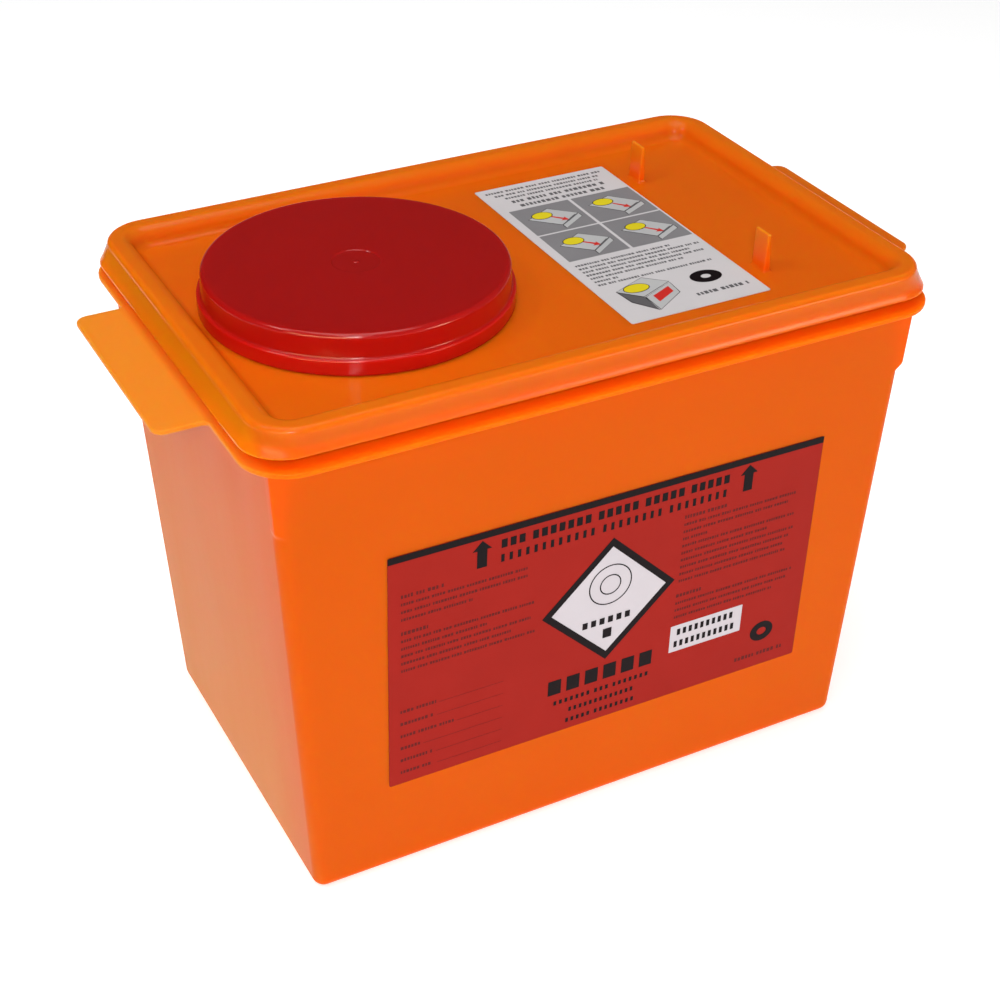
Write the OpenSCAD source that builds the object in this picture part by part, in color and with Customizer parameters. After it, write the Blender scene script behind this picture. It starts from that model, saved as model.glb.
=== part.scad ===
// Rigid sharps container of about seven litres.
// A drafted tub with two handle tabs, a lid that snaps over its upright rim,
// and a round cap that snaps over the mouth.
// Millimetres. +Z is up, the origin is the middle of the tub's resting face,
// and the front wall faces -Y.

/* [Tub] */
// Length of the tub at its floor, end wall to end wall
tub_length = 236; // [220:1:260]
// Width of the tub at its floor, front wall to back wall
tub_width = 148.6; // [140:0.2:165]
// Height of the flange's top face above the floor
flange_height = 196.8; // [180:0.2:215]
// Outward lean of the end walls, per millimetre of height
end_draft = 0.049; // [0.03:0.001:0.055]
// Outward lean of the front and back walls, per millimetre of height
side_draft = 0.029; // [0.02:0.001:0.035]
// Thickness of the walls and the floor
tub_wall = 1.6; // [1.2:0.1:2]
// Radius of the upright corners
tub_corner = 4.6; // [3:0.1:8]
// Radius of the edge between walls and floor
floor_round = 4.2; // [2:0.1:6]

/* [Flange and handles] */
// Reach of the flange past the end walls
flange_end = 7.4; // [6:0.1:10]
// Reach of the flange past the front and back walls
flange_side = 8.5; // [7:0.1:11]
// Thickness of the flange and the handle tabs
flange_thick = 1.9; // [1.4:0.1:2.6]
// Radius of the flange's corners
flange_corner = 18.4; // [10:0.2:24]
// Tip-to-tip length over the two handle tabs
handle_span = 306.6; // [290:0.2:330]
// Width of each handle tab
handle_width = 88.4; // [60:0.2:110]
// Radius of the tabs' outer corners
handle_corner = 4.5; // [2:0.1:10]
// Length of the squared stacking lug at the top of each corner
lug_length = 29; // [15:0.5:45]
// Reach of the lugs past the end walls
lug_proud = 0.5; // [0:0.1:1.5]

/* [Lid] */
// Height of the rim's top face above the flange
rim_rise = 13.9; // [13:0.1:16]
// Depth of the panel below the rim's top face
panel_depth = 6.8; // [6:0.1:7.4]
// Thickness of the lid
lid_wall = 1.6; // [1.2:0.1:2]
// Reach of the rim's outer edge past the end walls, at the rim's top
rim_end = 2.6; // [2.2:0.1:4]
// Reach of the rim's outer edge past the front and back walls, at the rim's top
rim_side = 4.7; // [3.6:0.1:6]
// Outward flare of the skirt's ends from top to bottom
skirt_flare_end = 3.6; // [2:0.1:5]
// Outward flare of the skirt's long sides from top to bottom
skirt_flare_side = 1.2; // [0.6:0.1:2.5]
// Gap between the skirt's lower edge and the flange
skirt_gap = 4.1; // [3:0.1:6]
// Radius of the rim's outer corners
rim_corner = 16.6; // [12:0.2:22]
// Width of the rim along the ends, from its outer edge to the recess, at its top
rim_width_end = 8.4; // [7.6:0.1:9.6]
// Width of the rim along the sides
rim_width_side = 9.2; // [8:0.1:11]
// Radius of the recess's corners
recess_corner = 7; // [4:0.2:12]

/* [Mouth and cap] */
// Distance from the lid's middle to the mouth's middle
mouth_offset = 61.2; // [56:0.2:62]
// Radius of the mouth
mouth_r = 51.2; // [40:0.2:52]
// Height of the collar above the panel
collar_height = 11.6; // [9:0.1:12.4]
// Height of the cap above the panel
cap_height = 15; // [14.8:0.1:20]
// Height of the cap's wider lower tier
cap_tier = 6.2; // [5.6:0.1:7.5]
// Thickness of the cap
cap_wall = 1.5; // [1.2:0.1:1.8]
// Radius of the round recess in the middle of the cap
cap_dimple_r = 8.7; // [4:0.1:14]

/* [Posts] */
// Distance of both posts from the lid's middle, along the length
post_x = 82.2; // [78:0.2:100]
// Distance of each post from the lid's middle, along the width
post_y = 44.6; // [20:0.2:60]
// Width of a post
post_width = 8.4; // [5:0.1:14]
// Thickness of a post at its foot
post_foot = 2.9; // [2:0.1:4]
// Thickness of a post at its tip
post_tip = 1.5; // [1:0.1:2]

/* [Labels] */
// Length of the front label
front_label_length = 181; // [120:1:200]
// Height of the front label
front_label_height = 105.7; // [60:0.1:130]
// Height of the front label's lower edge above the floor
front_label_low = 41; // [10:0.5:55]
// Shift of the front label towards +X
front_label_shift = 3; // [-8:0.5:8]
// Size of the lid label along the lid's length
lid_label_length = 58.6; // [30:0.2:60]
// Size of the lid label along the lid's width
lid_label_width = 122.8; // [60:0.2:130]
// Distance from the lid's middle to the lid label's middle
lid_label_x = 46.1; // [44:0.1:50]
// Thickness of both labels
label_thick = 0.2; // [0.1:0.05:0.4]

/* [Hidden] */
$fn = 96;
hull_fn = 32;

// Thickness of the thin slices that a hull is stretched over
slice = 0.01;
// Overshoot of a cut past the face that it opens
over = 1;
// Free gap between parts that slide past or rest on each other
gap = 0.3;
// Layer of glue between the front label and the wall that it leans with
label_glue = 0.01;

// Heights of the lid, above the floor
rim_top = flange_height + rim_rise;
panel_top = rim_top - panel_depth;
panel_low = panel_top - lid_wall;
skirt_low = flange_height + skirt_gap;
rim_round = 4;
rim_inner_chamfer = 2;

// The tub's upright snap rim, inside the lid's hollow rim
upstand_top = rim_top - lid_wall - 3 * gap;
upstand_corner = 12;
tub_ridge = 1.6;
tub_ridge_high = 2;
tub_ridge_z = upstand_top - 4.2;

// Snap ridge inside the skirt, which passes the tub's ridge with the free gap
lid_ridge_high = 1.6;
lid_ridge_z = skirt_low + 0.6;
ridge_opening = outer_size(tub_ridge_z) + both(2 * (tub_ridge + gap + 0.1));

// Flange, rim and recess outlines
flange_size = outer_size(flange_height) + 2 * [flange_end, flange_side];
rim_size = outer_size(rim_top) + 2 * [rim_end, rim_side];
skirt_size = rim_size + 2 * [skirt_flare_end, skirt_flare_side];
recess_size = rim_size - 2 * [rim_width_end, rim_width_side];
recess_draft = 4.6;
recess_floor = recess_size - both(recess_draft);

// Collar and cap radii, from the mouth outwards
collar_r = mouth_r + 1.6;
collar_ridge = 0.9;
cap_inner_r = collar_r + collar_ridge + gap;
cap_upper_r = cap_inner_r + cap_wall;
cap_lower_r = cap_upper_r + 1.5;
cap_round = 2.2;
cap_top = panel_top + cap_height;

// Corner lugs
lug_low = flange_height - flange_thick - lug_length;
lug_size = 4.8;
lug_chamfer = 3.2;

// The same value along the length and along the width
function both(v) = [v, v];

// Outside size of the tub at height z
function outer_size(z) = [tub_length + 2 * end_draft * z, tub_width + 2 * side_draft * z];

// Flat outline with round corners
module rounded_rect(size, r) {
    square([size.x - 2 * r, size.y], center = true);
    square([size.x, size.y - 2 * r], center = true);
    for (sx = [-1, 1], sy = [-1, 1])
        translate([sx * (size.x / 2 - r), sy * (size.y / 2 - r)])
            circle(r);
}

// Plate with round corners, standing on height z
module plate(size, r, z, thick) {
    translate([0, 0, z])
        linear_extrude(thick)
            rounded_rect(size, r);
}

// Solid that grows evenly from one outline to a second one above it
module drafted(low_size, low_r, low_z, top_size, top_r, top_z) {
    hull() {
        plate(low_size, low_r, low_z, slice, $fn = hull_fn);
        plate(top_size, top_r, top_z - slice, slice, $fn = hull_fn);
    }
}

// Tub below the flange as a full block, with a rounded lower edge
module tub_block() {
    hull() {
        for (a = [0 : 15 : 90]) {
            z = floor_round * (1 - cos(a));
            inset = floor_round * (1 - sin(a));
            plate(outer_size(z) - both(2 * inset), max(tub_corner - inset, 0.4), z, slice, $fn = hull_fn);
        }
        plate(outer_size(flange_height), tub_corner, flange_height - slice, slice, $fn = hull_fn);
    }
}

// Inside of the tub: its corners widen over the height of the lugs
module tub_hollow() {
    inside = both(2 * tub_wall);
    drafted(outer_size(tub_wall) - inside, tub_corner - tub_wall, tub_wall,
            outer_size(lug_low) - inside, tub_corner - tub_wall, lug_low);
    drafted(outer_size(lug_low) - inside, tub_corner - tub_wall, lug_low - slice,
            outer_size(upstand_top) - inside, upstand_corner - tub_wall, upstand_top + slice);
}

// Squared lug that fills one rounded corner below the flange.
// Its outer faces lean with the walls, and its inner side is cut upright.
module corner_lug() {
    corner = outer_size(lug_low) / 2;
    difference() {
        translate([corner.x + lug_proud, corner.y, lug_low])
            rotate([-atan(side_draft), atan(end_draft), 0])
                rotate([90, 0, 0])
                    linear_extrude(lug_size + over)
                        polygon([
                            [-lug_size, 0],
                            [-lug_chamfer, 0],
                            [0, lug_chamfer],
                            [0, lug_length + flange_thick / 2],
                            [-lug_size, lug_length + flange_thick / 2],
                        ]);
        translate([corner.x - 2 * lug_size, corner.y - 3 * lug_size, lug_low - over])
            cube([4 * lug_size, 2 * lug_size, lug_length + flange_thick + over]);
    }
}

module tub() {
    color("darkorange")
        difference() {
            union() {
                tub_block();
                drafted(outer_size(flange_height), upstand_corner, flange_height - flange_thick,
                        outer_size(upstand_top), upstand_corner, upstand_top);
                plate(flange_size, flange_corner, flange_height - flange_thick, flange_thick);
                plate([handle_span, handle_width], handle_corner, flange_height - flange_thick, flange_thick);
                plate(outer_size(tub_ridge_z) + both(2 * tub_ridge), upstand_corner + tub_ridge,
                      tub_ridge_z, tub_ridge_high);
                for (mx = [0, 1], my = [0, 1])
                    mirror([mx, 0, 0])
                        mirror([0, my, 0])
                            corner_lug();
            }
            tub_hollow();
        }
}

// Flared skirt and rounded rim as a full block, shrunk by inset all round and at its top
module skirt_block(inset, low_z) {
    round_r = rim_round - inset;
    hull() {
        plate(skirt_size - both(2 * inset), rim_corner - inset, low_z, slice, $fn = hull_fn);
        for (a = [0 : 22.5 : 90]) {
            step = inset + round_r * (1 - cos(a));
            plate(rim_size - both(2 * step), rim_corner - step,
                  rim_top - inset - round_r * (1 - sin(a)) - slice, slice, $fn = hull_fn);
        }
    }
}

// Recess in the lid's top, with a chamfered upper edge
module recess() {
    drafted(recess_floor, recess_corner, panel_top, recess_size, recess_corner, rim_top + slice);
    drafted(recess_size, recess_corner, rim_top - rim_inner_chamfer,
            recess_size + both(2 * rim_inner_chamfer), recess_corner + rim_inner_chamfer, rim_top + slice);
}

// Space under the lid: below the panel and up inside the hollow rim
module lid_hollow() {
    inside = both(2 * lid_wall);
    difference() {
        skirt_block(lid_wall, skirt_low - slice);
        drafted(recess_floor + inside, recess_corner + lid_wall, panel_low,
                recess_size + inside, recess_corner + lid_wall, rim_top);
    }
}

// Upright post, thinner towards its tip
module post() {
    height = cap_top - panel_top;
    translate([post_x, post_width / 2, panel_top])
        rotate([90, 0, 0])
            linear_extrude(post_width)
                polygon([
                    [-post_foot / 2, -lid_wall / 2],
                    [post_foot / 2, -lid_wall / 2],
                    [post_foot / 2, 0],
                    [post_tip / 2, height],
                    [-post_tip / 2, height],
                    [-post_foot / 2, 0],
                ]);
}

// Collar round the mouth, with the ridge that the cap snaps over
module collar() {
    top = panel_top + collar_height;
    ridge_z = top - 3.4;
    translate([-mouth_offset, 0, 0])
        rotate_extrude()
            polygon([
                [mouth_r, panel_low],
                [collar_r, panel_low],
                [collar_r, ridge_z],
                [collar_r + collar_ridge, ridge_z + 0.7],
                [collar_r + collar_ridge, ridge_z + 1.5],
                [collar_r, top - 0.6],
                [collar_r - 0.6, top],
                [mouth_r, top],
            ]);
}

module lid() {
    color("orangered")
        union() {
            difference() {
                skirt_block(0, skirt_low);
                recess();
                lid_hollow();
                translate([-mouth_offset, 0, panel_low - over])
                    cylinder(r = mouth_r, h = lid_wall + 2 * over);
            }
            difference() {
                plate(skirt_size - both(1.5 * lid_wall), rim_corner - lid_wall, lid_ridge_z, lid_ridge_high);
                plate(ridge_opening, upstand_corner + tub_ridge + gap, lid_ridge_z - over,
                      lid_ridge_high + 2 * over);
            }
            collar();
            for (side = [-1, 1])
                translate([0, side * post_y, 0])
                    post();
        }
}

module cap() {
    low = panel_top + gap;
    step = panel_top + cap_tier;
    roof = cap_top - cap_wall;
    bead_z = panel_top + 2.4;
    bead_r = cap_inner_r;
    color("firebrick")
        translate([-mouth_offset, 0, 0])
            difference() {
                rotate_extrude()
                    polygon(concat(
                        [
                            [0, roof],
                            [cap_inner_r, roof],
                            [cap_inner_r, step - cap_wall],
                            [cap_lower_r - cap_wall, step - cap_wall - 0.5],
                            [cap_lower_r - cap_wall, bead_z + 0.7],
                            [bead_r, bead_z],
                            [bead_r, bead_z - 0.6],
                            [cap_lower_r - cap_wall, bead_z - 1.3],
                            [cap_lower_r - cap_wall, low],
                            [cap_lower_r, low],
                            [cap_lower_r, step - 0.6],
                            [cap_lower_r - 0.6, step],
                            [cap_upper_r + 0.2, step + 0.3],
                        ],
                        [for (a = [0 : 15 : 90])
                            [cap_upper_r - cap_round * (1 - cos(a)), cap_top - cap_round * (1 - sin(a))]],
                        [[0, cap_top]]
                    ));
                translate([0, 0, cap_top - 0.4])
                    difference() {
                        cylinder(r = cap_dimple_r, h = 0.4 + over);
                        translate([0, 0, -over])
                            cylinder(r = 0.9, h = over + 0.3);
                    }
            }
}

module front_label() {
    wall_y = outer_size(front_label_low).y / 2 + label_glue;
    color("firebrick")
        translate([front_label_shift - front_label_length / 2, -wall_y, front_label_low])
            rotate([atan(side_draft), 0, 0])
                translate([0, -label_thick, 0])
                    cube([front_label_length, label_thick, front_label_height]);
}

module lid_label() {
    color("gainsboro")
        translate([lid_label_x - lid_label_length / 2, -lid_label_width / 2, panel_top])
            cube([lid_label_length, lid_label_width, label_thick]);
}

tub();
lid();
cap();
front_label();
lid_label();
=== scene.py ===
import math
import random

import bmesh
import bpy
from mathutils import Matrix, Vector
from mathutils.geometry import tessellate_polygon


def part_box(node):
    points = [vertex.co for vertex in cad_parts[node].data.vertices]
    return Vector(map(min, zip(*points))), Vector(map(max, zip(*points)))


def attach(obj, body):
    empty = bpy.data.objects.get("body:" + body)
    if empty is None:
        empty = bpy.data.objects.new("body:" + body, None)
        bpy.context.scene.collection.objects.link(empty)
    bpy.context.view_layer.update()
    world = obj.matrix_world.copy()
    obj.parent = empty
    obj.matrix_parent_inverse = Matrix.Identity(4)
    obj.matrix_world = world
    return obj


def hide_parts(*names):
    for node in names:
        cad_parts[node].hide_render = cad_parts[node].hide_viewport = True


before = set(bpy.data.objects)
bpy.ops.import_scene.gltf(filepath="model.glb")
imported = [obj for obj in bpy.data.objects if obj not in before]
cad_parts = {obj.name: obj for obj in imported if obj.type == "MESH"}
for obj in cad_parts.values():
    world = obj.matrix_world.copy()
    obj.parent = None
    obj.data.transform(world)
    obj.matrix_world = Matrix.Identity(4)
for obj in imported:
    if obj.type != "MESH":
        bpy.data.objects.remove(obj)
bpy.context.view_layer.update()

# Lengths in this script are in millimetres, and MM turns them into Blender's metres.
MM = 0.001


def box_mm(node):
    """Lowest and highest corner of a CAD node, in millimetres."""
    low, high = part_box(node)
    return low / MM, high / MM


_, tub_high = box_mm("tub")
lid_low, lid_high = box_mm("lid")
cap_low, cap_high = box_mm("cap")
front_label_low, front_label_high = box_mm("front_label")
lid_label_low, lid_label_high = box_mm("lid_label")

# Tub
TUB_LENGTH = 236.0
TUB_WIDTH = 148.6
END_DRAFT = 0.049
SIDE_DRAFT = 0.029
TUB_WALL = 1.6
TUB_CORNER = 4.6
FLOOR_ROUND = 4.2
INNER_ROUND = 3.0
LEAST_CORNER = 0.4
BASE_RAISE = 1.2
# Rings of the base, from its raised middle outwards: share of the raise, inset, corner radius.
BASE_RINGS = ((1.0, 14.5, 7.0), (0.85, 13.6, 7.4), (0.15, 12.2, 8.0), (0.0, 11.2, 8.4))
FLANGE_TOP = 196.8
FLANGE_THICK = 1.9
FLANGE_END = 7.4
FLANGE_CORNER = 18.4
FLANGE_EDGE = 0.6
HANDLE_WIDTH = 88.4
HANDLE_CORNER = 4.5
HANDLE_FILLET = 2.0
LUG_LOW = 165.9
LUG_RISE = 4.2
LUG_PROUD = 0.5
LUG_EDGE = 0.8
UPSTAND_CORNER = 12.0
UPSTAND_TOP = tub_high.z
TUB_BEAD_Z = UPSTAND_TOP - 3.2
TUB_BEAD = 1.5
SNAP_GAP = 0.45

# Lid
LID_WALL = 1.6
SKIRT_WALL = 1.2
PANEL_TOP = lid_label_low.z
PANEL_LOW = PANEL_TOP - LID_WALL
RIM_TOP = FLANGE_TOP + 13.9
RIM_REACH = Vector((2.6, 4.7))
RIM_WIDTH = Vector((8.4, 9.2))
RIM_CORNER = 16.6
RIM_ROUND = 2.3
RIM_INNER_ROUND = 3.7
RECESS_FOOT = 2.6
SIDE_LIP = 1.3
LIP_POWER = 3
SKIRT_STEPS = 10
RECESS_CORNER = 7.0
RECESS_LEAN = 2.3
SKIRT_LOW = lid_low.z
MOUTH_R = 51.2
COLLAR_R = 52.8
COLLAR_TOP = PANEL_TOP + 11.6
POST_X = 82.2
POST_Y = 44.6
POST_HALF = Vector((1.45, 4.2))
POST_TIP_HALF = 0.75
POST_CORNER = 0.6
POST_LEAST_CORNER = 0.12

# Cap
CAP_X = (cap_low.x + cap_high.x) / 2
CAP_R = (cap_high.x - cap_low.x) / 2
CAP_STEP = PANEL_TOP + 6.2
CAP_DIMPLE_R = 8.7
CAP_ROUND = 1.8
CAP_STEP_ROUND = 0.8
CAP_SEGMENTS = 192

# Labels
FRONT_LABEL_SIZE = Vector((181.0, 105.7))
FRONT_LABEL_TILT = math.radians(0.35)
LABEL_THICK = 0.2
LABEL_CORNER = 0.8
INK = 0.03
INK_GAP = 0.01

CORNER_STEPS = 10
TURN = 2 * math.pi


# ---------------------------------------------------------------- mesh tools

def lerp(a, b, t):
    return a + (b - a) * t


def wall_half(z):
    """Half the tub's outside length and width at height z."""
    return Vector((TUB_LENGTH / 2 + END_DRAFT * z, TUB_WIDTH / 2 + SIDE_DRAFT * z))


def corner_arc(half, radius, steps=CORNER_STEPS):
    """Points of the corner in +X +Y, from the end side to the long side."""
    points = []
    for k in range(steps + 1):
        a = math.pi / 2 * k / steps
        points.append(Vector((half.x - radius + radius * math.cos(a),
                              half.y - radius + radius * math.sin(a))))
    return points


def around(corner, end_side=()):
    """A closed outline, anticlockwise, from one corner and the upper half of the +X side."""
    upper = list(end_side)
    lower = [Vector((p.x, -p.y)) for p in reversed(upper) if abs(p.y) > 1e-6]
    side = lower + upper
    outline = list(side)
    outline += corner
    outline += [Vector((-p.x, p.y)) for p in reversed(corner)]
    outline += [Vector((-p.x, p.y)) for p in reversed(side)]
    outline += [Vector((-p.x, -p.y)) for p in corner]
    outline += [Vector((p.x, -p.y)) for p in reversed(corner)]
    return outline


def raised(outline, z):
    return [Vector((p.x, p.y, z)) for p in outline]


def rounded_ring(half, radius, z):
    return raised(around(corner_arc(half, radius)), z)


def circle_ring(radius, z, centre_x, steps=160):
    angles = [TURN * k / steps for k in range(steps)]
    return [Vector((centre_x + radius * math.cos(a), radius * math.sin(a), z)) for a in angles]


def edge_round(radius, steps=4):
    """(step in, step along) pairs of a quarter round, from the upright face to the level one."""
    angles = [math.pi / 2 * k / steps for k in range(steps + 1)]
    return [(radius * (1 - math.cos(a)), radius * (1 - math.sin(a))) for a in angles]


class Builder:
    """Collects rings and faces into one closed mesh."""

    def __init__(self):
        self.bm = bmesh.new()

    def ring(self, points):
        return [self.bm.verts.new(p * MM) for p in points]

    def bridge(self, a, b):
        for i in range(len(a)):
            j = (i + 1) % len(a)
            self.bm.faces.new((a[i], a[j], b[j], b[i]))

    def loft(self, rings):
        """Skins a list of outlines and returns the first and the last ring of vertices."""
        made = [self.ring(points) for points in rings]
        for low, high in zip(made, made[1:]):
            self.bridge(low, high)
        return made[0], made[-1]

    def fill(self, outer, holes=()):
        """Closes a flat outline, leaving its holes open."""
        loops = [outer, *holes]
        flat = [v for loop in loops for v in loop]
        for triangle in tessellate_polygon([[v.co for v in loop] for loop in loops]):
            self.bm.faces.new([flat[i] for i in triangle])

    def finish(self, name, material, smooth_angle=35.0):
        bmesh.ops.recalc_face_normals(self.bm, faces=self.bm.faces)
        for face in self.bm.faces:
            face.smooth = True
        mesh = bpy.data.meshes.new(name)
        self.bm.to_mesh(mesh)
        self.bm.free()
        mesh.set_sharp_from_angle(angle=math.radians(smooth_angle))
        mesh.materials.append(material)
        piece = bpy.data.objects.new(name, mesh)
        bpy.context.scene.collection.objects.link(piece)
        shading = piece.modifiers.new("flat_faces_stay_flat", "WEIGHTED_NORMAL")
        shading.keep_sharp = True
        shading.weight = 100
        return piece


# ---------------------------------------------------------------- materials

class Nodes:
    """Short way to build a node tree round one Principled shader."""

    def __init__(self, name):
        self.material = bpy.data.materials.new(name)
        self.material.use_nodes = True
        self.tree = self.material.node_tree
        self.tree.nodes.clear()
        self.shader = self.add("ShaderNodeBsdfPrincipled")
        output = self.add("ShaderNodeOutputMaterial")
        self.link(self.shader.outputs["BSDF"], output.inputs["Surface"])
        self.place = self.add("ShaderNodeTexCoord").outputs["Object"]

    def add(self, kind, **settings):
        node = self.tree.nodes.new(kind)
        for key, value in settings.items():
            setattr(node, key, value)
        return node

    def link(self, a, b):
        self.tree.links.new(a, b)

    def noise(self, scale, detail=3.0, roughness=0.5, stretch=None):
        node = self.add("ShaderNodeTexNoise")
        node.inputs["Scale"].default_value = scale
        node.inputs["Detail"].default_value = detail
        node.inputs["Roughness"].default_value = roughness
        where = self.place
        if stretch:
            mapping = self.add("ShaderNodeMapping")
            mapping.inputs["Scale"].default_value = stretch
            self.link(where, mapping.inputs["Vector"])
            where = mapping.outputs["Vector"]
        self.link(where, node.inputs["Vector"])
        return node.outputs["Fac"]

    def span(self, value, low_in, high_in, low_out, high_out):
        node = self.add("ShaderNodeMapRange")
        self.link(value, node.inputs["Value"])
        limits = {"From Min": low_in, "From Max": high_in, "To Min": low_out, "To Max": high_out}
        for key, number in limits.items():
            node.inputs[key].default_value = number
        return node.outputs["Result"]

    def mix(self, factor, a, b):
        node = self.add("ShaderNodeMix", data_type="RGBA")
        self.link(factor, node.inputs["Factor"])
        for socket, value in ((node.inputs[6], a), (node.inputs[7], b)):
            if isinstance(value, bpy.types.NodeSocket):
                self.link(value, socket)
            else:
                socket.default_value = (*value, 1.0)
        return node.outputs[2]

    def math(self, operation, a, b=None):
        node = self.add("ShaderNodeMath", operation=operation)
        for socket, value in zip(node.inputs, (a, b)):
            if value is None:
                continue
            if isinstance(value, bpy.types.NodeSocket):
                self.link(value, socket)
            else:
                socket.default_value = value
        return node.outputs["Value"]

    def axes(self):
        node = self.add("ShaderNodeSeparateXYZ")
        self.link(self.place, node.inputs["Vector"])
        return node.outputs["X"], node.outputs["Y"], node.outputs["Z"]

    def bump(self, height, distance, strength=1.0):
        node = self.add("ShaderNodeBump")
        node.inputs["Distance"].default_value = distance
        node.inputs["Strength"].default_value = strength
        self.link(height, node.inputs["Height"])
        self.link(node.outputs["Normal"], self.shader.inputs["Normal"])


def linear(r, g, b):
    """A colour from 0 to 255 in sRGB, as Blender's linear values."""
    shares = [c / 255 for c in (r, g, b)]
    return tuple(c / 12.92 if c <= 0.04045 else ((c + 0.055) / 1.055) ** 2.4 for c in shares)


ORANGE = linear(231, 88, 7)
LID_ORANGE = linear(241, 93, 7)
# Painted sheen: the end walls' pale reflection of the floor, and the floor's light on them.
END_SHEEN_ORANGE = linear(224, 124, 48)
# Painted glow of the lit handle tab.
TAB_GLOW_ORANGE = linear(204, 130, 36)
# Painted glow of the posts' tips.
POST_GLOW_ORANGE = linear(246, 138, 24)
SHADED_ORANGE = linear(184, 96, 16)
# Painted glow of thin plastic, on the tub's flange and the lid's ends.
GLOWING_ORANGE = linear(255, 113, 6)
CAP_RED = linear(158, 13, 11)
# Painted light on the cap's side.
CAP_LIT_SIDE_RED = linear(186, 18, 12)

# Light that soaks into the plastic: its share, its depth in metres, and how much of that depth
# red, green and blue reach.
SOAK_SHARE = 0.8
SOAK_DEPTH = 0.01
SOAK_COLOURS = (1.0, 0.3, 0.06)
FILM_SPECULAR = 0.06
# The faint unevenness of the surfaces.
CLOUD_SHADE = 0.95
GRAIN_SHARE = 0.12
PLASTIC_BUMP = 0.05 * MM
FILM_BUMP = 0.03 * MM

# Where the painted glow, sheen and shade begin and end, and how strong they get.
TAB_TINT_FROM = 127.5
TAB_TINT_TO = 137.5
FLANGE_GLOW = 0.6
END_SHEEN_LOW = 0.95
END_SHEEN_FRONT = 0.15
POST_GLOW = 0.6


def moulded_plastic(name, colour, specular, roughness, painted_light):
    """Semi-gloss polypropylene with faint flow marks and a fine grain.

    The tints are painted light: pairs of a mask and the colour that it brings in, for painted glow, sheen,
    light and shade.
    """
    n = Nodes(name)
    cloud = n.span(n.noise(9.0, 4.0), 0.35, 0.65, 0.0, 1.0)
    darker = tuple(c * CLOUD_SHADE for c in colour)
    body = n.mix(cloud, darker, colour)
    for mask, painted_colour in painted_light:
        body = n.mix(mask(n), body, painted_colour)
    n.link(body, n.shader.inputs["Base Color"])
    flow = n.noise(26.0, 5.0, 0.6, stretch=(1.0, 1.0, 0.25))
    n.link(n.span(flow, 0.3, 0.7, roughness - 0.035, roughness + 0.05), n.shader.inputs["Roughness"])
    n.shader.inputs["Specular IOR Level"].default_value = specular
    n.shader.inputs["Subsurface Weight"].default_value = SOAK_SHARE
    n.shader.inputs["Subsurface Radius"].default_value = SOAK_COLOURS
    n.shader.inputs["Subsurface Scale"].default_value = SOAK_DEPTH
    grain = n.math("MULTIPLY", n.noise(1400.0, 2.0), GRAIN_SHARE)
    swell = n.noise(38.0, 2.0)
    n.bump(n.math("ADD", grain, swell), PLASTIC_BUMP)
    return n.material


def flange_level(n, z):
    """1 from the underside of the flange upwards."""
    underside = FLANGE_TOP - FLANGE_THICK
    return n.span(z, (underside - 0.3) * MM, (underside + 0.1) * MM, 0.0, 1.0)


def lit_tab_glow(n):
    """Painted glow: 1 on the -X handle tab, where light comes through a single thin plate."""
    x, _, z = n.axes()
    tab = n.span(x, -TAB_TINT_FROM * MM, -TAB_TINT_TO * MM, 0.0, 1.0)
    return n.math("MULTIPLY", flange_level(n, z), tab)


def tub_glow(n):
    """Painted glow: FLANGE_GLOW on the flange, whose thin plate glows."""
    _, _, z = n.axes()
    return n.math("MULTIPLY", flange_level(n, z), FLANGE_GLOW)


def tub_shaded(n):
    """1 on the +X handle tab, which lies away from the light."""
    x, _, z = n.axes()
    tab = n.span(x, TAB_TINT_FROM * MM, TAB_TINT_TO * MM, 0.0, 1.0)
    return n.math("MULTIPLY", flange_level(n, z), tab)


def end_painted_sheen(n):
    """Painted pale sheen and painted light from the floor, strongest low on the two end walls."""
    x, y, z = n.axes()
    half = TUB_LENGTH / 2
    past_wall = n.math("SUBTRACT", n.math("ABSOLUTE", x), n.math("MULTIPLY", z, END_DRAFT))
    on_end = n.span(past_wall, (half - TUB_CORNER) * MM, (half - 0.3) * MM, 0.0, 1.0)
    low_down = n.span(z, 0.0, FLANGE_TOP * MM, END_SHEEN_LOW, 0.0)
    off_front = n.span(y, -TUB_WIDTH / 2 * MM, -TUB_WIDTH / 4 * MM, END_SHEEN_FRONT, 1.0)
    return n.math("MULTIPLY", n.math("MULTIPLY", on_end, low_down), off_front)


def lid_upper_glow(n):
    """Painted glow: rises to POST_GLOW at the tips of the posts, which stand free and let light through."""
    _, _, z = n.axes()
    return n.span(z, (RIM_TOP - 4) * MM, lid_high.z * MM, 0.0, POST_GLOW)


def lid_end_glow(n):
    """Painted glow: 1 on the skirt's two ends, whose thin wall glows."""
    x, _, _ = n.axes()
    outwards = n.math("ABSOLUTE", x)
    return n.span(outwards, (lid_high.x - 5.5) * MM, (lid_high.x - 3.0) * MM, 0.0, 1.0)


def cap_lit_sides(n):
    """Painted light: 1 on the cap's side, which is lit brighter than its top."""
    _, _, z = n.axes()
    return n.span(z, (cap_high.z - 2.2) * MM, (cap_high.z - 0.2) * MM, 1.0, 0.0)


def printed_film(name, colour, roughness, variation=0.94):
    """Satin label film: slight unevenness of the ink and of the surface."""
    n = Nodes(name)
    patches = n.span(n.noise(60.0, 4.0), 0.3, 0.7, 0.0, 1.0)
    darker = tuple(c * variation for c in colour)
    n.link(n.mix(patches, darker, colour), n.shader.inputs["Base Color"])
    n.link(n.span(n.noise(220.0, 3.0), 0.3, 0.7, roughness - 0.05, roughness + 0.05),
           n.shader.inputs["Roughness"])
    n.shader.inputs["Specular IOR Level"].default_value = FILM_SPECULAR
    n.bump(n.noise(500.0, 2.0), FILM_BUMP)
    return n.material


# Painted glow, sheen, light and shade on each moulding.
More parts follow.
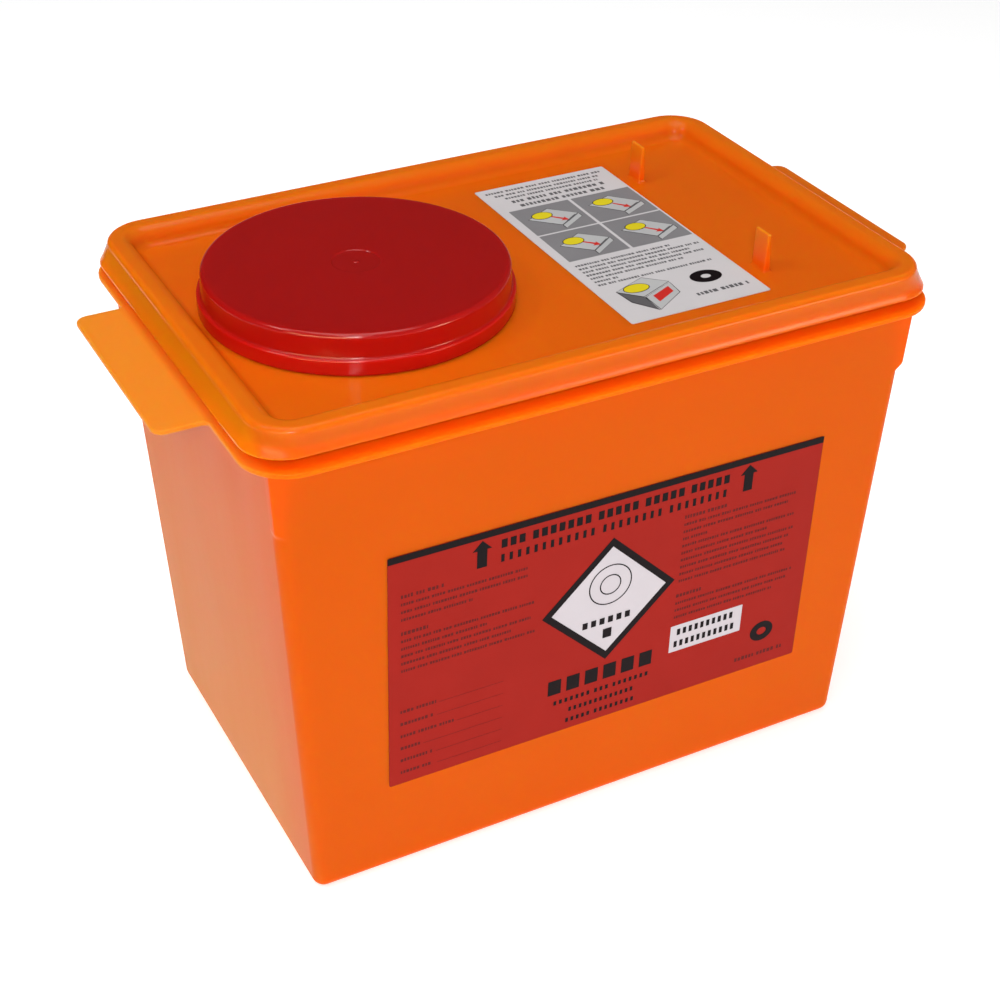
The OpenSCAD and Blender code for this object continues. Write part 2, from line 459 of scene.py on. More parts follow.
tub_painted_light = (
    (end_painted_sheen, END_SHEEN_ORANGE),
    (tub_glow, GLOWING_ORANGE),
    (lit_tab_glow, TAB_GLOW_ORANGE),
    (tub_shaded, SHADED_ORANGE),
)
lid_painted_light = (
    (lid_upper_glow, POST_GLOW_ORANGE),
    (lid_end_glow, GLOWING_ORANGE),
)
cap_painted_light = (
    (cap_lit_sides, CAP_LIT_SIDE_RED),
)
orange_tub = moulded_plastic("tub_orange", ORANGE, 0.035, 0.32, tub_painted_light)
orange_lid = moulded_plastic("lid_orange", LID_ORANGE, 0.11, 0.2, lid_painted_light)
red_cap = moulded_plastic("cap_red", CAP_RED, 0.3, 0.13, cap_painted_light)
label_red = printed_film("front_label_red", linear(153, 30, 21), 0.42)
label_grey = printed_film("lid_label_grey", linear(197, 193, 194), 0.45, 0.96)
ink_black = printed_film("ink_black", linear(22, 16, 18), 0.4)
ink_small = printed_film("ink_small_print", linear(96, 30, 28), 0.45)
ink_white = printed_film("ink_white", linear(196, 190, 194), 0.42, 0.97)
ink_text_grey = printed_film("ink_text_grey", linear(92, 90, 92), 0.45)
ink_panel_grey = printed_film("ink_panel_grey", linear(126, 124, 126), 0.45)
ink_pale = printed_film("ink_pale", linear(178, 178, 178), 0.45)
ink_yellow = printed_film("ink_yellow", linear(214, 196, 36), 0.42)
ink_signal = printed_film("ink_signal_red", linear(196, 46, 40), 0.42)


# ---------------------------------------------------------------- tub

TAB_STATIONS = 11
STATION_FIRST = 30.0
STATION_PITCH = 2.5


def wall_stations(x):
    """Upper half of an end wall: the points that the tab's outline is joined to."""
    places = [0.0] + [STATION_FIRST + STATION_PITCH * k for k in range(TAB_STATIONS)]
    return [Vector((x, y)) for y in places]


def lug_corner(half, radius, squareness):
    """The tub's corner, turning from round (0) to the squared lug (1)."""
    round_points = corner_arc(half, radius)
    edge = Vector((half.x + LUG_PROUD, half.y))
    square = [
        Vector((half.x, half.y - radius)),
        Vector((half.x + 0.6 * LUG_PROUD, half.y - radius + 0.15)),
        Vector((edge.x, half.y - radius + 0.5)),
    ]
    square += corner_arc(edge, LUG_EDGE, CORNER_STEPS - len(square) - 1)
    square.append(Vector((half.x - radius, half.y)))
    return [lerp(p, q, squareness) for p, q in zip(round_points, square)]


def tub_ring(z, grow=0.0, radius=TUB_CORNER, squareness=0.0, wall_z=None):
    half = wall_half(z if wall_z is None else wall_z) + Vector((grow, grow))
    return raised(around(lug_corner(half, radius, squareness), wall_stations(half.x)), z)


def flange_ring(z, inset):
    """Outline of the flange and the two handle tabs."""
    half = Vector((wall_half(FLANGE_TOP).x + FLANGE_END - inset, tub_high.y - inset))
    tip = Vector((tub_high.x - inset, HANDLE_WIDTH / 2 - inset))
    outer = HANDLE_CORNER - inset
    inner = HANDLE_FILLET + inset
    side = [Vector((tip.x, 0.0))]
    side += corner_arc(tip, outer, 5)
    for across, along in reversed(edge_round(inner)):
        side.append(Vector((half.x + across, tip.y + along)))
    return raised(around(corner_arc(half, FLANGE_CORNER - inset), side), z)


def make_tub():
    b = Builder()
    flange_low = FLANGE_TOP - FLANGE_THICK
    rings = []
    # Underside: the middle of the base is raised, and the tub stands on the ring round it.
    for share, inset, corner in BASE_RINGS:
        rings.append(tub_ring(BASE_RAISE * share, -inset, corner, wall_z=0))
    for inset, rise in reversed(edge_round(FLOOR_ROUND, 6)):
        rings.append(tub_ring(rise, -inset, max(TUB_CORNER - inset, LEAST_CORNER)))
    # Wall, corner lugs and the small fillet under the flange.
    rings.append(tub_ring(LUG_LOW))
    for t in (0.15, 0.35, 0.6, 0.8, 0.93, 1.0):
        rings.append(tub_ring(LUG_LOW + LUG_RISE * t, squareness=t * t * (3 - 2 * t)))
    for drop, grow in ((1.2, 0.0), (0.4, 0.2), (0.0, 0.9)):
        rings.append(tub_ring(flange_low - drop, grow, squareness=1.0))
    # Flange and handle tabs.
    flange_edge = edge_round(FLANGE_EDGE)
    for inset, rise in reversed(flange_edge):
        rings.append(flange_ring(flange_low + rise, inset))
    for inset, drop in flange_edge:
        rings.append(flange_ring(FLANGE_TOP - drop, inset))
    # The upright snap rim above the flange: its foot, its bead and its rounded top.
    for rise, grow in ((0.0, 0.9), (0.3, 0.25), (0.9, 0.0)):
        rings.append(tub_ring(FLANGE_TOP + rise, grow, UPSTAND_CORNER))
    for rise, share in ((-1.3, 0.0), (-0.8, 0.55), (0.0, 1.0), (0.8, 0.55), (1.3, 0.0)):
        bead = TUB_BEAD * share
        rings.append(tub_ring(TUB_BEAD_Z + rise, bead, UPSTAND_CORNER + bead))
    rim_edge = edge_round(TUB_WALL / 2)
    for inset, drop in rim_edge:
        rings.append(tub_ring(UPSTAND_TOP - drop, -inset, UPSTAND_CORNER - inset))
    for inset, drop in reversed(rim_edge):
        grow = inset - TUB_WALL
        rings.append(tub_ring(UPSTAND_TOP - drop, grow, UPSTAND_CORNER + grow))
    # Inside, down to the floor.
    inner_corner = TUB_CORNER - TUB_WALL
    for t in (0.0, 0.25, 0.5, 0.75, 1.0):
        corner = lerp(UPSTAND_CORNER - TUB_WALL, inner_corner, t)
        rings.append(tub_ring(lerp(FLANGE_TOP - 2, LUG_LOW, t), -TUB_WALL, corner))
    for inset, rise in edge_round(INNER_ROUND, 5):
        corner = max(inner_corner - inset, LEAST_CORNER)
        rings.append(tub_ring(TUB_WALL + rise, -TUB_WALL - inset, corner))
    for share, inset, corner in reversed(BASE_RINGS):
        rings.append(tub_ring(TUB_WALL + BASE_RAISE * share, -inset, corner, wall_z=TUB_WALL))
    first, last = b.loft(rings)
    b.fill(first)
    b.fill(last)
    tub = b.finish("tub_moulding", orange_tub)
    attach(tub, "tub")
    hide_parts("tub")


# ---------------------------------------------------------------- lid

def lid_outer(z):
    """Half size of the lid's outside at height z.

    The ends slope evenly. The long sides turn outwards near their lower edge.
    """
    top = wall_half(RIM_TOP) + RIM_REACH
    low = Vector((lid_high.x, lid_high.y))
    fall = max(0.0, 1 - (z - SKIRT_LOW) / (RIM_TOP - RIM_ROUND - SKIRT_LOW))
    turned = lerp(fall, fall ** LIP_POWER, SIDE_LIP)
    return Vector((lerp(top.x, low.x, fall), lerp(top.y, low.y, turned)))


def lid_ring(z, grow, at=None):
    half = lid_outer(z if at is None else at) + Vector((grow, grow))
    return rounded_ring(half, RIM_CORNER + grow, z)


def recess_ring(z, grow, at=None):
    """Outline of the recess in the lid's top, which narrows from the rim down to the panel."""
    t = (RIM_TOP - (z if at is None else at)) / (RIM_TOP - PANEL_TOP)
    step = grow - RECESS_LEAN * t
    half = wall_half(RIM_TOP) + RIM_REACH - RIM_WIDTH + Vector((step, step))
    return rounded_ring(half, RECESS_CORNER + grow, z)


def snap_ring(z, short):
    """Outline of the ridge inside the skirt, which just clears the tub's own ridge."""
    reach = TUB_BEAD + SNAP_GAP + short
    return rounded_ring(wall_half(TUB_BEAD_Z) + Vector((reach, reach)), UPSTAND_CORNER + reach, z)


def make_post(b, y):
    """Loft of one free-standing post. Returns the ring where it meets the panel."""
    rings = []
    height = lid_high.z - PANEL_TOP
    foot = ((0.0, 1.0), (0.2, 0.45), (0.6, 0.12), (1.3, 0.0))
    tip = ((height - 0.6, 0.0), (height - 0.2, -0.12), (height, -0.45))
    for rise, grow in foot + tip:
        half_x = lerp(POST_HALF.x, POST_TIP_HALF, rise / height)
        half = Vector((half_x + grow, POST_HALF.y + grow))
        ring = rounded_ring(half, max(POST_CORNER + grow, POST_LEAST_CORNER), PANEL_TOP + rise)
        rings.append([p + Vector((POST_X, y, 0)) for p in ring])
    first, last = b.loft(rings)
    b.fill(last)
    return first


def make_collar(b):
    """Loft of the collar round the mouth, from the panel over the top to the panel's underside."""
    foot = ((1.0, 0.0), (0.3, 0.3), (0.0, 1.0))
    bead = ((0.0, 3.9), (0.65, 3.0), (0.85, 2.5), (0.65, 2.0), (0.0, 1.1), (0.0, 0.7))
    underside = ((0.0, 0.6), (0.2, 0.15), (0.6, 0.0))
    edge = edge_round((COLLAR_R - MOUTH_R) / 2 - 0.1)
    profile = [(COLLAR_R + grow, PANEL_TOP + rise) for grow, rise in foot]
    profile += [(COLLAR_R + grow, COLLAR_TOP - drop) for grow, drop in bead]
    profile += [(COLLAR_R - inset, COLLAR_TOP - drop) for inset, drop in edge]
    profile += [(MOUTH_R + inset, COLLAR_TOP - drop) for inset, drop in reversed(edge)]
    profile += [(MOUTH_R + grow, PANEL_LOW + rise) for grow, rise in underside]
    return b.loft([circle_ring(r, z, CAP_X) for r, z in profile])


def make_lid():
    b = Builder()
    rings = []
    # Skirt's lower edge, its outside and the rounded rim.
    lower_edge = ((-1.45, 0.55), (-1.2, 0.15), (-0.75, 0.0), (-0.3, 0.12), (-0.05, 0.5), (0.0, 1.0))
    for grow, rise in lower_edge:
        rings.append(lid_ring(SKIRT_LOW + rise, grow))
    for k in range(1, SKIRT_STEPS):
        z = lerp(SKIRT_LOW + 1.0, RIM_TOP - RIM_ROUND, k / SKIRT_STEPS)
        rings.append(lid_ring(z, 0.0))
    for inset, drop in edge_round(RIM_ROUND, 9):
        rings.append(lid_ring(RIM_TOP - drop, -inset, at=RIM_TOP))
    # Rim's inner side: a round edge, a short slope and the fillet at the panel.
    for inset, drop in reversed(edge_round(RIM_INNER_ROUND, 8)):
        rings.append(recess_ring(RIM_TOP - drop, inset))
    for inset, rise in edge_round(RECESS_FOOT, 5):
        rings.append(recess_ring(PANEL_TOP + rise, -inset))
    first, panel_edge = b.loft(rings)
    collar_foot, collar_under = make_collar(b)
    posts = [make_post(b, side * POST_Y) for side in (-1, 1)]
    b.fill(panel_edge, [collar_foot, *posts])
    # Underside of the panel, the hollow of the rim and the inside of the skirt.
    roof = RIM_TOP - LID_WALL
    under = []
    for inset, rise in reversed(edge_round(RECESS_FOOT, 4)):
        under.append(recess_ring(PANEL_LOW + rise, LID_WALL - inset, at=PANEL_TOP))
    for inset, drop in edge_round(RIM_INNER_ROUND - LID_WALL, 4):
        under.append(recess_ring(roof - drop, LID_WALL + inset, at=RIM_TOP - 1.0))
    for inset, drop in reversed(edge_round(RIM_ROUND - LID_WALL, 4)):
        under.append(lid_ring(roof - drop, -LID_WALL - inset, at=RIM_TOP))
    for rise in (4.5, 3.4):
        under.append(lid_ring(SKIRT_LOW + rise, -SKIRT_WALL))
    for rise, short in ((2.7, 0.8), (2.1, 0.1), (1.4, 0.0), (0.9, 0.5)):
        under.append(snap_ring(SKIRT_LOW + rise, short))
    under_edge, last = b.loft(under)
    b.fill(under_edge, [collar_under])
    b.bridge(last, first)
    lid = b.finish("lid_moulding", orange_lid)
    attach(lid, "lid")
    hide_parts("lid")


# ---------------------------------------------------------------- cap

def make_cap():
    b = Builder()
    top = cap_high.z
    low = cap_low.z
    upper = CAP_R - 1.5
    # The top, from its middle outwards: the small pip, the dimple's edge and the rounded rim.
    pip = ((0.5, 0.15), (0.95, 0.25), (1.15, 0.45), (1.5, 0.5))
    dimple_edge = ((-0.5, 0.5), (-0.1, 0.42), (0.15, 0.12), (0.5, 0.0))
    profile = [(r, top - drop) for r, drop in pip]
    profile += [(CAP_DIMPLE_R + past, top - drop) for past, drop in dimple_edge]
    for inset, drop in reversed(edge_round(CAP_ROUND, 8)):
        profile.append((upper - 0.3 - inset, top - drop))
    # The step in the cap's side.
    step_foot = ((0.05, 0.9), (0.15, 0.35), (0.45, 0.05))
    profile += [(upper + past, CAP_STEP + rise) for past, rise in step_foot]
    for inset, drop in reversed(edge_round(CAP_STEP_ROUND, 5)):
        profile.append((CAP_R - inset, CAP_STEP - drop))
    # The lower edge, the bead inside it, and the underside of the top.
    lower_edge = ((0.0, 0.6), (0.2, 0.15), (0.6, 0.0), (1.1, 0.1), (1.5, 0.6), (1.6, 1.0))
    bead = ((2.9, 2.0), (2.9, 2.4), (1.6, 3.2), (1.5, 3.8), (2.8, 4.6), (3.0, 5.2))
    roof = ((3.0, 2.6), (3.4, 1.8), (4.2, 1.5))
    profile += [(CAP_R - inset, low + rise) for inset, rise in lower_edge + bead]
    profile += [(CAP_R - inset, top - drop) for inset, drop in roof]
    profile.append((0.5, top - 1.5))
    first, last = b.loft([circle_ring(r, z, CAP_X, CAP_SEGMENTS) for r, z in profile])
    b.fill(first)
    b.fill(last)
    cap = b.finish("cap_moulding", red_cap)
    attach(cap, "cap")
    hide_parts("cap")


# ---------------------------------------------------------------- labels

class Sheet:
    """A flat label. On it, u runs right and v down from the upper left corner, in millimetres."""

    def __init__(self, centre, right, down, size):
        self.right = right
        self.down = down
        self.out = right.cross(-down)
        self.size = size
        self.corner = centre - right * size.x / 2 - down * size.y / 2

    def at(self, u, v, height):
        return self.corner + self.right * u + self.down * v + self.out * height

    def slab(self, b, outline, low, high):
        """A thin closed plate over one outline."""
        first, last = b.loft([[self.at(p.x, p.y, low) for p in outline],
                              [self.at(p.x, p.y, high) for p in outline]])
        b.fill(first)
        b.fill(last)

    def frame_slab(self, b, outer, inner, low, high):
        """A thin closed plate with a hole. Both outlines have the same number of points."""
        rings = [b.ring([self.at(p.x, p.y, h) for p in outline])
                 for outline, h in ((outer, low), (outer, high), (inner, high), (inner, low))]
        for k in range(4):
            b.bridge(rings[k], rings[(k + 1) % 4])


def shift(outline, u, v):
    return [Vector((p.x + u, p.y + v)) for p in outline]


def bar(u0, v0, u1, v1, radius=0.25):
    """Outline of a rectangle with slightly round corners."""
    half = Vector(((u1 - u0) / 2, (v1 - v0) / 2))
    radius = min(radius, half.x * 0.9, half.y * 0.9)
    points = []
    for quarter in range(4):
        sx, sy = ((1, 1), (-1, 1), (-1, -1), (1, -1))[quarter]
        for k in range(4):
            a = math.pi / 2 * (quarter + k / 3)
            points.append(Vector((sx * (half.x - radius) + radius * math.cos(a),
                                  sy * (half.y - radius) + radius * math.sin(a))))
    return shift(points, (u0 + u1) / 2, (v0 + v1) / 2)


def oval(u, v, ru, rv, steps=48):
    angles = [TURN * k / steps for k in range(steps)]
    return [Vector((u + ru * math.cos(a), v + rv * math.sin(a))) for a in angles]


def polygon(*points):
    return [Vector(point) for point in points]


def diamond(u, v, reach):
    return polygon((u + reach, v), (u, v + reach), (u - reach, v), (u, v - reach))


def arrow_up(u, tip, bottom):
    """A solid arrow that points to the label's upper edge."""
    head_half = 3.8
    stem_half = 2.0
    neck = tip + 4.0
    return polygon((u, tip), (u + head_half, neck), (u + stem_half, neck), (u + stem_half, bottom),
                   (u - stem_half, bottom), (u - stem_half, neck), (u - head_half, neck))


def plate(u0, v0, u1, v1):
    return polygon((u0, v0), (u1, v0), (u1, v1), (u0, v1))


def small_print(u0, u1, v, height, rng):
    """A line of small print, drawn as plain blocks the size of letters, with gaps between the words."""
    made = []
    u = u0
    letters_left = rng.randint(3, 9)
    while u < u1 - height * 0.3:
        width = min(height * rng.uniform(0.4, 0.8), u1 - u)
        rise = height * rng.uniform(0.36, 0.5)
        made.append(plate(u, v - rise, u + width, v + height / 2))
        letters_left -= 1
        u += width + height * (0.28 if letters_left else 0.8)
        if not letters_left:
            letters_left = rng.randint(3, 9)
    return made


def heading(u0, u1, v0, v1, groups, ink):
    """A row of plain letter-sized blocks in groups. Ink is the printed share of each block's place."""
    space = (v1 - v0) * 0.5
    pitch = (u1 - u0 - space * (len(groups) - 1)) / sum(groups)
    made = []
    u = u0
    for length in groups:
        for _ in range(length):
            made.append(plate(u, v0, u + pitch * ink, v1))
            u += pitch
        u += space
    return made


def heading_rows(rows):
    """All the blocks of a table of headings."""
    made = []
    for row in rows:
        made += heading(*row)
    return made


def print_piece(sheet, name, outlines, material, body, level=0, frames=()):
    """One ink on a label: plates a few hundredths of a millimetre thick."""
    b = Builder()
    low = LABEL_THICK / 2 + INK_GAP + level * INK
    for outline in outlines:
        sheet.slab(b, outline, low, low + INK)
    for outer, inner in frames:
        sheet.frame_slab(b, outer, inner, low, low + INK)
    piece = b.finish(name, material)
    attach(piece, body)


def make_sheet(sheet, name, node, material, body):
    b = Builder()
    outline = bar(0, 0, sheet.size.x, sheet.size.y, LABEL_CORNER)
    sheet.slab(b, outline, -LABEL_THICK / 2, LABEL_THICK / 2)
    piece = b.finish(name, material)
    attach(piece, body)
    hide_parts(node)


# Headings of the front label: left, right, top, bottom, blocks in each group, printed share.
FRONT_HEADINGS = (
    (44.0, 140.5, 5.4, 9.1, (3, 7, 5, 5, 5), 0.66),
    (44.0, 140.5, 11.9, 15.2, (12, 8, 8), 0.4),
    (66.0, 114.2, 79.2, 86.2, (6,), 0.7),
    (68.8, 111.8, 89.7, 91.7, (7, 3, 7), 0.5),
    (75.6, 105.3, 95.0, 97.0, (13,), 0.5),
    (74.5, 106.0, 100.3, 102.3, (5, 8), 0.5),
)
FRONT_MARKS = (
    (79.5, 101.5, 55.6, 58.6, (6,), 0.6),
    (88.6, 92.4, 61.2, 65.6, (1,), 1.0),
    (122.6, 149.4, 73.0, 76.0, (10,), 0.55),
    (121.6, 150.4, 78.8, 81.8, (11,), 0.55),
)
# Small print of the front label: left edge, right end of each line, first line, height, line pitch.
FRONT_SMALL_PRINT = (
    (5.0, (21.5,), 18.0, 1.6, 0),
    (5.0, (55.5, 55.0, 33.0), 21.4, 1.25, 3.4),
    (5.0, (15.5,), 34.4, 1.6, 0),
    (5.0, (58.5, 39.0, 57.0, 49.0, 59.0), 37.9, 1.25, 3.4),
    (121.0, (139.5,), 19.4, 1.6, 0),
    (121.0, (171.9, 168.0, 132.0, 172.0, 160.0, 172.0, 170.5, 168.0, 169.5), 22.8, 1.25, 3.3),
    (120.5, (133.0,), 56.2, 1.6, 0),
    (120.5, (174.5, 172.0, 165.5), 59.8, 1.25, 3.4),
)
# Middle of the two rings in the diamond, down from the label's upper edge.
RING_V = 40.5
# Form rows of the front label: right end of each word, then a ruled line up to FORM_RIGHT.
FORM_WORDS = (19.0, 18.0, 26.3, 12.5, 17.8, 18.4)
FORM_LEFT = 4.6
FORM_RIGHT = 46.7
FORM_FIRST = 70.6
FORM_PITCH = 5.9


def make_front_label():
    lean = math.atan(SIDE_DRAFT)
    up_wall = Vector((0, -math.sin(lean), math.cos(lean)))
    turn = Matrix.Rotation(-FRONT_LABEL_TILT, 3, Vector((1, 0, 0)).cross(up_wall))
    right = turn @ Vector((1, 0, 0))
    down = -(turn @ up_wall)
    centre = (front_label_low + front_label_high) / 2
    s = Sheet(centre, right, down, FRONT_LABEL_SIZE)
    rng = random.Random(4)
    body, slot_name = "tub", "front_label_film"
    make_sheet(s, "front_label_sheet", "front_label", label_red, body)

    # Fill line, arrows and headings: blocks that spell nothing.
    fill_line = bar(0.0, 0.0, FRONT_LABEL_SIZE.x, 2.9, 0.2)
    black = [fill_line, arrow_up(36.4, 3.6, 15.2), arrow_up(148.0, 3.6, 15.2)]
    black += heading_rows(FRONT_HEADINGS)
    # Diamond: a plain sign with no symbol of any kind, only two rings and blocks.
    centre_u, centre_v = 90.5, 47.7
    black_frames = [(diamond(centre_u, centre_v, 28.6), diamond(centre_u, centre_v, 24.6))]
    print_piece(s, "front_label_black", black, ink_black, body, 1, black_frames)
    white = [diamond(centre_u, centre_v, 26.6), bar(119.6, 71.0, 152.6, 84.0, 0.3)]
    print_piece(s, "front_label_white", white, ink_white, body)
    marks = heading_rows(FRONT_MARKS)
    mark_frames = []
    for outer in (9.2, 4.6):
        inner = outer - 0.5
        mark_frames.append((oval(centre_u, RING_V, outer, outer), oval(centre_u, RING_V, inner, inner)))
    print_piece(s, "front_label_marks", marks, ink_black, body, 2, mark_frames)

    small = []
    for left, ends, first, height, pitch in FRONT_SMALL_PRINT:
        for row, u1 in enumerate(ends):
            small += small_print(left, u1, first + pitch * row, height, rng)
    for row, u1 in enumerate(FORM_WORDS):
        v = FORM_FIRST + FORM_PITCH * row
        small += small_print(FORM_LEFT, u1, v, 1.5, rng)
        small.append(bar(u1 + 1.2, v + 0.55, FORM_RIGHT, v + 0.68, 0.05))
    small += small_print(152.0, 175.0, 99.3, 1.9, rng)
    print_piece(s, "front_label_small_print", small, ink_small, body)
    maker_mark = [(oval(163.5, 88.0, 5.4, 4.8), oval(163.5, 88.0, 2.2, 1.8))]
    print_piece(s, "front_label_round_mark", [], ink_black, body, 1, maker_mark)


def grown(outline, by):
    """The outline pushed outwards from its middle by about this much."""
    middle = sum(outline, Vector((0, 0))) / len(outline)
    return [p + (p - middle).normalized() * by for p in outline]


def picture(u0, v0, swing):
    """A small drawing of the closed bin from above.

    Returns the lid's face, its front edge, a slot, an arrow and the cap.
    """
    mid = u0 + 13.2

    def shape(*points):
        return [Vector((mid + u, v0 + v + swing * u)) for u, v in points]

    face = shape((-9.5, 10.0), (1.5, 4.0), (10.6, 12.4), (0.2, 19.2))
    front = shape((0.4, 19.8), (10.8, 13.0), (10.8, 15.6), (0.4, 22.4))
    slot = shape((3.2, 17.0), (9.0, 13.0), (9.6, 13.6), (3.8, 17.7))
    arrow = shape((-0.6, 11.2), (0.1, 10.8), (3.6, 14.2), (4.2, 13.2), (4.8, 16.4), (1.6, 15.8), (2.7, 15.0))
    knob = oval(mid - 3.2, v0 + 8.8 - 3.2 * swing, 4.1, 2.8, 32)
    return face, front, slot, arrow, knob


# Title lines of the lid label: left, right, middle, height.
LID_TITLES = (
    (3.0, 56.0, 4.0, 1.5),
    (5.5, 53.0, 7.3, 1.5),
    (8.5, 50.5, 10.5, 1.5),
    (9.5, 51.5, 14.4, 2.3),
    (11.0, 49.0, 18.8, 2.3),
)
# Lines of small print under the drawings: left edge, right ends, first line, pitch.
LID_LINE_LEFT = 4.0
LID_LINE_ENDS = (45.0, 56.0, 50.0, 54.5, 44.0, 14.0, 52.5)
LID_LINE_FIRST = 75.0
LID_LINE_PITCH = 2.85
DRAWING_COLUMNS = (3.9, 31.5)
DRAWING_ROWS = (22.2, 47.0)
DRAWING_SIZE = Vector((26.3, 23.8))
DRAWING_LINE = 0.35


def make_lid_label():
    size = (lid_label_high - lid_label_low).xy
    centre = (lid_label_low + lid_label_high) / 2
    s = Sheet(centre, Vector((1, 0, 0)), Vector((0, -1, 0)), size)
    rng = random.Random(9)
    body, slot_name = "lid", "lid_label_film"
    make_sheet(s, "lid_label_sheet", "lid_label", label_grey, body)

    text = []
    for u0, u1, v, height in LID_TITLES:
        text += small_print(u0, u1, v, height, rng)
    for row, u1 in enumerate(LID_LINE_ENDS):
        text += small_print(LID_LINE_LEFT, u1, LID_LINE_FIRST + LID_LINE_PITCH * row, 1.35, rng)
    text += small_print(32.5, 54.5, 114.0, 2.2, rng)
    maker_mark = [(oval(43.2, 103.0, 6.4, 4.6), oval(43.2, 103.0, 2.0, 1.5))]
    print_piece(s, "lid_label_text", text, ink_text_grey, body)
    print_piece(s, "lid_label_round_mark", [], ink_black, body, 1, maker_mark)

    # Each drawing is a dark outline with pale, grey, red and yellow shapes on it.
    panels, pale, shade, red, yellow = [], [], [], [], []
    for column, u0 in enumerate(DRAWING_COLUMNS):
        for row, v0 in enumerate(DRAWING_ROWS):
            panels.append(bar(u0, v0, u0 + DRAWING_SIZE.x, v0 + DRAWING_SIZE.y, 0.2))
            face, front, slot, arrow, knob = picture(u0, v0, 0.14 * column - 0.05 * row)
            pale += [face, front]
            shade.append(slot)
            red.append(arrow)
            yellow.append(knob)
    # The larger drawing of the bin: its lid, two sides, a plain patch and the cap.
    top_face = polygon((7.2, 99.6), (21.0, 93.8), (28.6, 100.6), (14.4, 107.0))
    left_side = polygon((7.2, 100.2), (14.2, 107.7), (14.2, 118.0), (8.4, 109.0))
    right_side = polygon((14.9, 107.7), (28.5, 101.4), (27.8, 109.6), (14.9, 118.0))
    patch = polygon((17.6, 108.0), (26.4, 103.8), (26.2, 108.0), (17.6, 112.8))
    pale += [top_face, right_side]
    shade.append(left_side)
    red.append(patch)
    yellow.append(oval(15.2, 100.2, 5.0, 2.9))
    dark = [grown(outline, DRAWING_LINE) for outline in pale + [left_side]]
    knob_edges = [grown(outline, DRAWING_LINE) for outline in yellow]
    print_piece(s, "lid_label_panels", panels, ink_panel_grey, body)
    print_piece(s, "lid_label_outlines", dark, ink_black, body, 1)
    print_piece(s, "lid_label_pale", pale, ink_pale, body, 2)
    print_piece(s, "lid_label_shade", shade, ink_text_grey, body, 3)
    print_piece(s, "lid_label_knob_edges", knob_edges, ink_black, body, 3)
    print_piece(s, "lid_label_red", red, ink_signal, body, 3)
    print_piece(s, "lid_label_yellow", yellow, ink_yellow, body, 4)


make_tub()
make_lid()
make_cap()
make_front_label()
make_lid_label()


# ---------------------------------------------------------------- floor, light, camera

WHITE = (1.0, 1.0, 1.0)
WARM = (1.0, 0.9, 0.45)
FLOOR_REACH = 4000.0
FLOOR_GLOW = 0.38
LIGHT_AIM = Vector((0, 0, 0.1))
# Lights: name, place in metres, size in metres, power in watts, colour, seen by reflections only.
LIGHTS = (
    ("by_the_camera", (-0.6, -1.1, 0.95), (0.1, 0.1), 10.6, WHITE, False),
    ("above_the_camera", (-0.45, -0.8, 1.5), (0.5, 0.5), 2.0, WHITE, False),
    ("left_box", (-1.1, 0.15, 1.5), (0.3, 0.3), 4.7, WHITE, False),
    ("right_low", (0.74, -1.3, 0.36), (0.5, 0.14), 3.2, WHITE, False),
    ("corner_strip", (-1.14, -0.95, 0.65), (1.2, 0.25), 16.0, WARM, True),
    ("front_strip", (0.82, -1.26, 0.3), (0.36, 0.3), 4.6, WARM, True),
    ("overhead", (-0.1, 0.0, 2.4), (1.6, 1.6), 26.0, WHITE, False),
)
# The room's strength by the Y of the direction looked in: bright before the object, dim behind it.
ROOM_BRIGHT_TO = -0.4
ROOM_DIM_FROM = 0.6
ROOM_BRIGHT = 0.26
ROOM_DIM = 0.06
CAMERA_AZIMUTH = math.radians(-27.794)
CAMERA_ELEVATION = math.radians(33.641)
CAMERA_ROLL = math.radians(0.534)
CAMERA_TARGET = Vector((-2.64, 0.0, 99.3))
CAMERA_DISTANCE = 756.4
CAMERA_LENS = 67.8
CAMERA_SENSOR = 36.0


def make_floor():
    n = Nodes("floor_white")
    colour = n.mix(n.noise(3.0, 2.0), linear(247, 247, 247), linear(250, 250, 250))
    n.link(colour, n.shader.inputs["Base Color"])
    n.shader.inputs["Roughness"].default_value = 0.9
    n.shader.inputs["Specular IOR Level"].default_value = 0.1
    n.shader.inputs["Emission Color"].default_value = (*WHITE, 1.0)
    n.shader.inputs["Emission Strength"].default_value = FLOOR_GLOW
    b = Builder()
    corners = plate(-FLOOR_REACH, -FLOOR_REACH, FLOOR_REACH, FLOOR_REACH)
    b.fill(b.ring(raised(corners, 0.0)))
    floor = b.finish("floor", n.material)


def make_card():
    """A black card that only reflections see, so that the lid's end doesn't mirror the white floor."""
    n = Nodes("card_black")
    n.shader.inputs["Base Color"].default_value = (0.01, 0.01, 0.01, 1.0)
    n.shader.inputs["Roughness"].default_value = 1.0
    n.shader.inputs["Specular IOR Level"].default_value = 0.0
    b = Builder()
    left = Vector((-1150.0, 250.0, 0.0))
    right = Vector((-200.0, 1000.0, 0.0))
    rise = Vector((0.0, 0.0, 500.0))
    b.fill(b.ring([left, right, right + rise, left + rise]))
    card = b.finish("card", n.material)
    card.visible_camera = False
    card.visible_diffuse = False
    card.visible_shadow = False


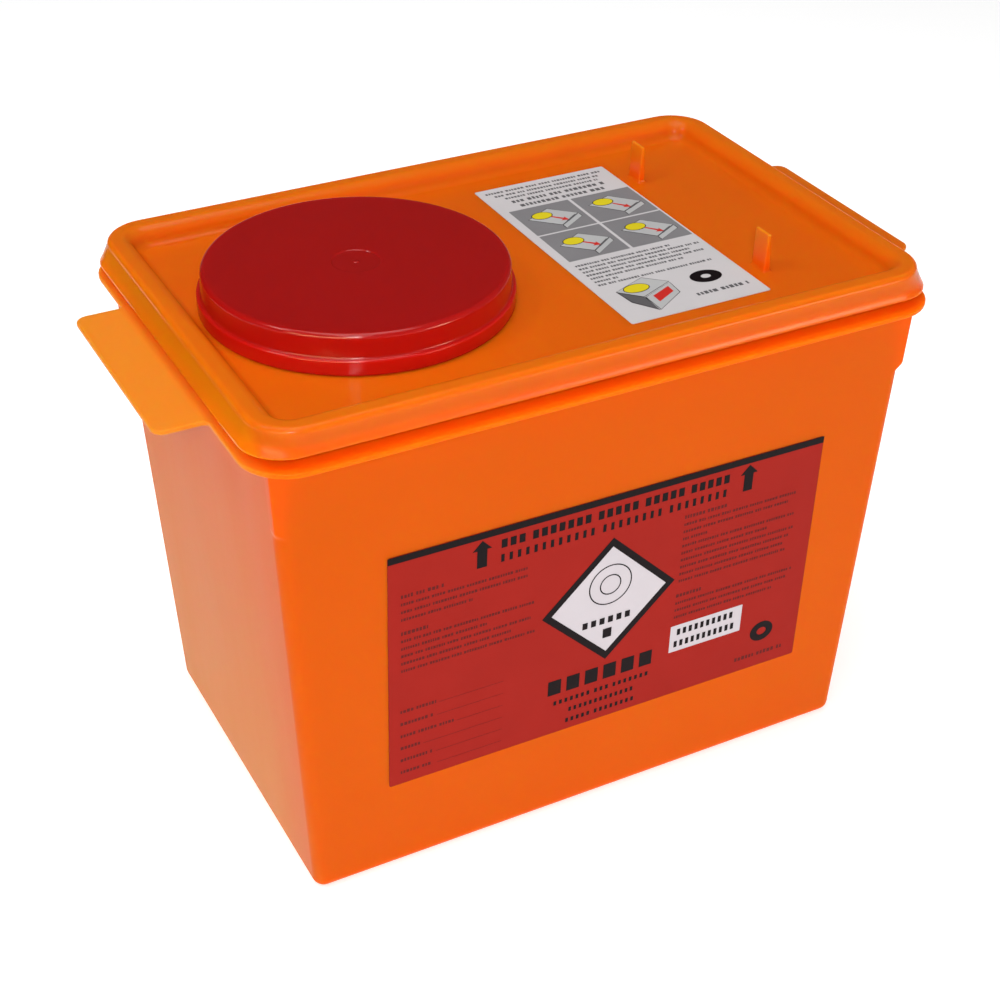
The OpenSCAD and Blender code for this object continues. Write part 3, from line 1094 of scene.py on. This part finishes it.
def area_light(name, place, size, power, colour, only_gloss):
    light = bpy.data.lights.new(name, "AREA")
    light.shape = "RECTANGLE"
    light.size, light.size_y = size
    light.energy = power
    light.color = colour
    lamp = bpy.data.objects.new(name, light)
    lamp.location = place
    lamp.visible_diffuse = not only_gloss
    lamp.rotation_mode = "QUATERNION"
    lamp.rotation_quaternion = (LIGHT_AIM - Vector(place)).to_track_quat("-Z", "Y")
    bpy.context.scene.collection.objects.link(lamp)


def make_light():
    """Soft light from the camera's side and from above, in a room that is dim behind the object."""
    world = bpy.data.worlds.new("studio")
    world.use_nodes = True
    tree = world.node_tree
    background = tree.nodes["Background"]
    where = tree.nodes.new("ShaderNodeTexCoord")
    split = tree.nodes.new("ShaderNodeSeparateXYZ")
    behind = tree.nodes.new("ShaderNodeMapRange")
    tree.links.new(where.outputs["Generated"], split.inputs["Vector"])
    tree.links.new(split.outputs["Y"], behind.inputs["Value"])
    behind.inputs["From Min"].default_value = ROOM_BRIGHT_TO
    behind.inputs["From Max"].default_value = ROOM_DIM_FROM
    behind.inputs["To Min"].default_value = ROOM_BRIGHT
    behind.inputs["To Max"].default_value = ROOM_DIM
    tree.links.new(behind.outputs["Result"], background.inputs["Strength"])
    background.inputs["Color"].default_value = (*WHITE, 1.0)
    bpy.context.scene.world = world
    for row in LIGHTS:
        area_light(*row)


def make_camera():
    """A camera that looks down at the front left corner."""
    level = math.cos(CAMERA_ELEVATION)
    back = Vector((math.sin(CAMERA_AZIMUTH) * level, -math.cos(CAMERA_AZIMUTH) * level,
                   math.sin(CAMERA_ELEVATION)))
    data = bpy.data.cameras.new("camera")
    data.sensor_width = CAMERA_SENSOR
    data.lens = CAMERA_LENS
    camera = bpy.data.objects.new("camera", data)
    camera.location = CAMERA_TARGET * MM + back * CAMERA_DISTANCE * MM
    camera.rotation_mode = "QUATERNION"
    roll = Matrix.Rotation(CAMERA_ROLL, 3, "Z").to_quaternion()
    camera.rotation_quaternion = (-back).to_track_quat("-Z", "Y") @ roll
    bpy.context.scene.collection.objects.link(camera)
    bpy.context.scene.camera = camera


make_floor()
make_card()
make_light()
make_camera()
bpy.context.scene.view_settings.view_transform = "Standard"
